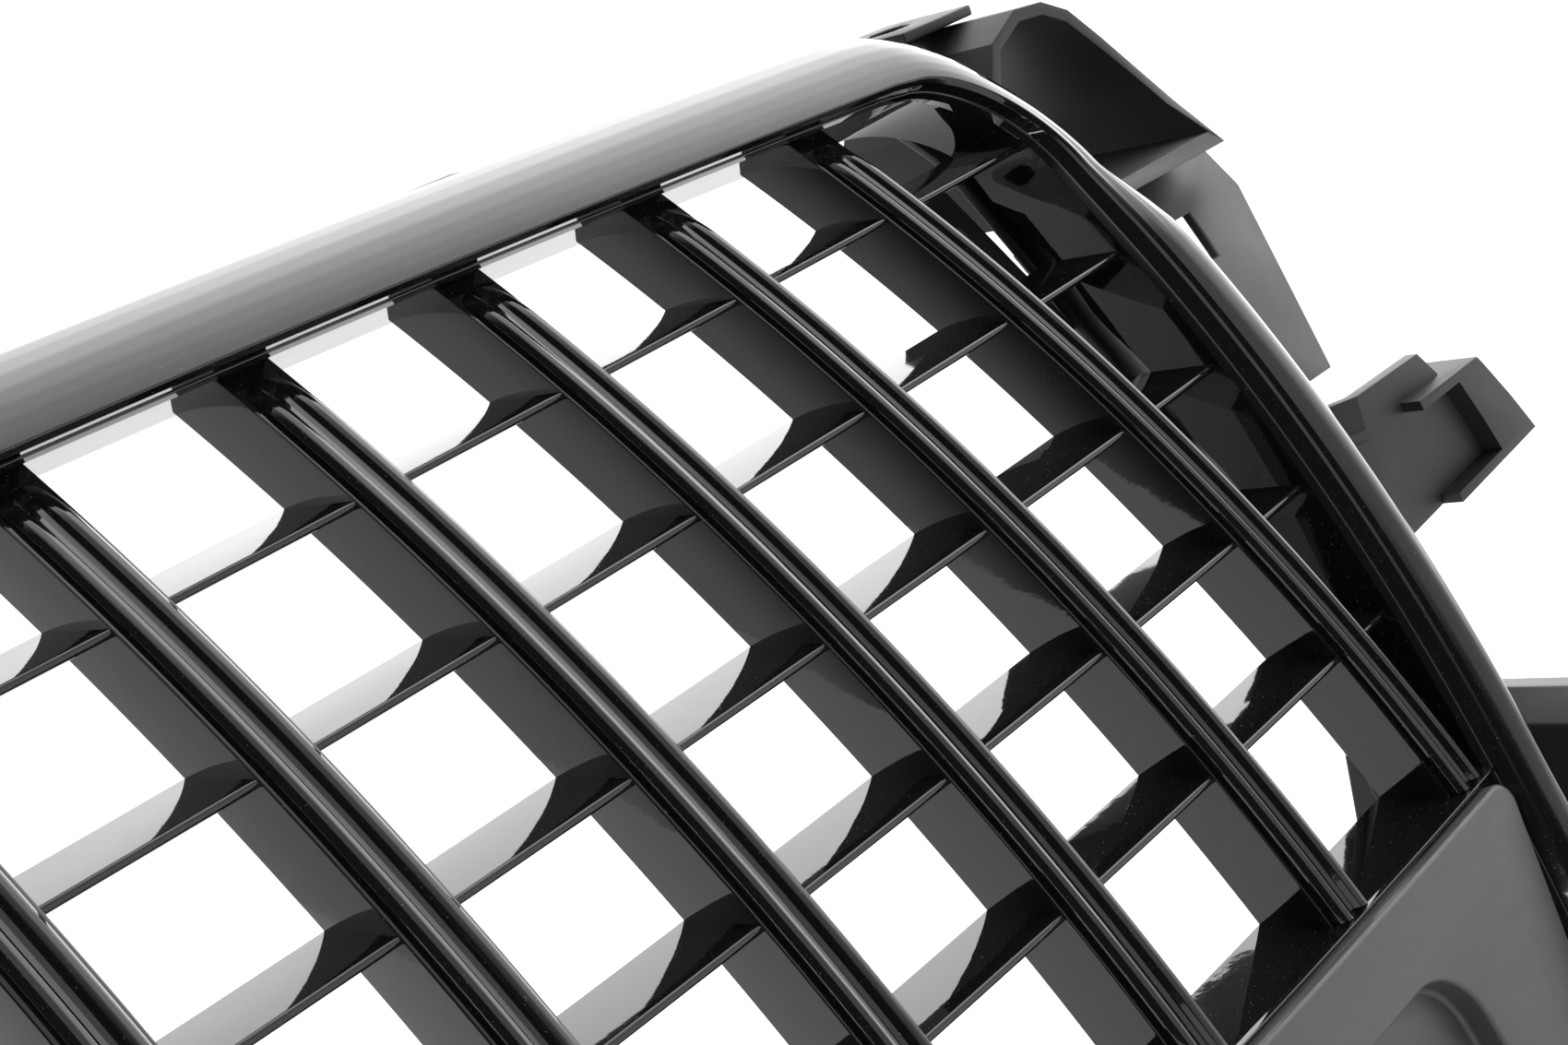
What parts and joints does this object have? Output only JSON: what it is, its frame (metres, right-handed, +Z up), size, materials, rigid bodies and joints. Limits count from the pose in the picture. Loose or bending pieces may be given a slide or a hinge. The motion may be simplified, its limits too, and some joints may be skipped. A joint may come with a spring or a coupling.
{
  "type": "front grille",
  "caption": "Car front grille: gloss surround round an egg-crate grid with trimmed vertical bars, a flat number-plate carrier below, ducts and brackets behind.",
  "frame": {"origin": "middle of the bounding box", "axes": "+X across the grille towards its right-hand end as seen from in front, -Y out of the front, +Z up as fitted to the car"},
  "size_m": [0.8012, 0.1401, 0.4101],
  "materials": {
    "gloss_black": "high-gloss piano black",
    "satin_grey_black": "fine-grained satin",
    "matt_black": "plain moulded",
    "zinc_steel": "zinc plated"
  },
  "bodies": {
    "root": {"outer_surround": "gloss_black", "upper_grid": "gloss_black", "lower_grid": "gloss_black", "bar_trim_01": "gloss_black", "bar_trim_02": "gloss_black", "bar_trim_03": "gloss_black", "bar_trim_04": "gloss_black", "bar_trim_05": "gloss_black", "bar_trim_06": "gloss_black", "bar_trim_07": "gloss_black", "bar_trim_08": "gloss_black", "bar_trim_09": "gloss_black", "bar_trim_10": "gloss_black", "bar_trim_11": "gloss_black", "bar_trim_12": "gloss_black", "lower_bar_trim_1": "gloss_black", "lower_bar_trim_2": "gloss_black", "lower_bar_trim_3": "gloss_black", "lower_bar_trim_4": "gloss_black", "lower_bar_trim_5": "gloss_black", "lower_bar_trim_6": "gloss_black", "lower_bar_trim_7": "gloss_black", "lower_bar_trim_8": "gloss_black", "number_plate_carrier": "satin_grey_black", "rear_carrier": "matt_black", "upper_duct_left": "matt_black", "lower_duct_left": "matt_black", "duct_arm_left": "matt_black", "side_flange_left": "matt_black", "side_guide_left": "matt_black", "upper_clip_rail_left": "matt_black", "lower_clip_rail_left": "matt_black", "upper_tab_left": "matt_black", "corner_bracket_left": "matt_black", "lower_tab_left": "matt_black", "carrier_screw_upper_left": "zinc_steel", "carrier_screw_lower_left": "zinc_steel", "upper_duct_right": "matt_black", "lower_duct_right": "matt_black", "duct_arm_right": "matt_black", "side_flange_right": "matt_black", "side_guide_right": "matt_black", "upper_clip_rail_right": "matt_black", "lower_clip_rail_right": "matt_black", "upper_tab_right": "matt_black", "corner_bracket_right": "matt_black", "lower_tab_right": "matt_black", "carrier_screw_upper_right": "zinc_steel", "carrier_screw_lower_right": "zinc_steel", "top_fixing_tab_1": "matt_black", "plate_screw_1": "zinc_steel", "top_fixing_tab_2": "matt_black", "plate_screw_2": "zinc_steel", "top_fixing_tab_3": "matt_black", "plate_screw_3": "zinc_steel", "top_fixing_tab_4": "matt_black", "plate_screw_4": "zinc_steel", "spring_clip_1": "zinc_steel", "spring_clip_2": "zinc_steel", "spring_clip_3": "zinc_steel"}
  },
  "joints": []
}
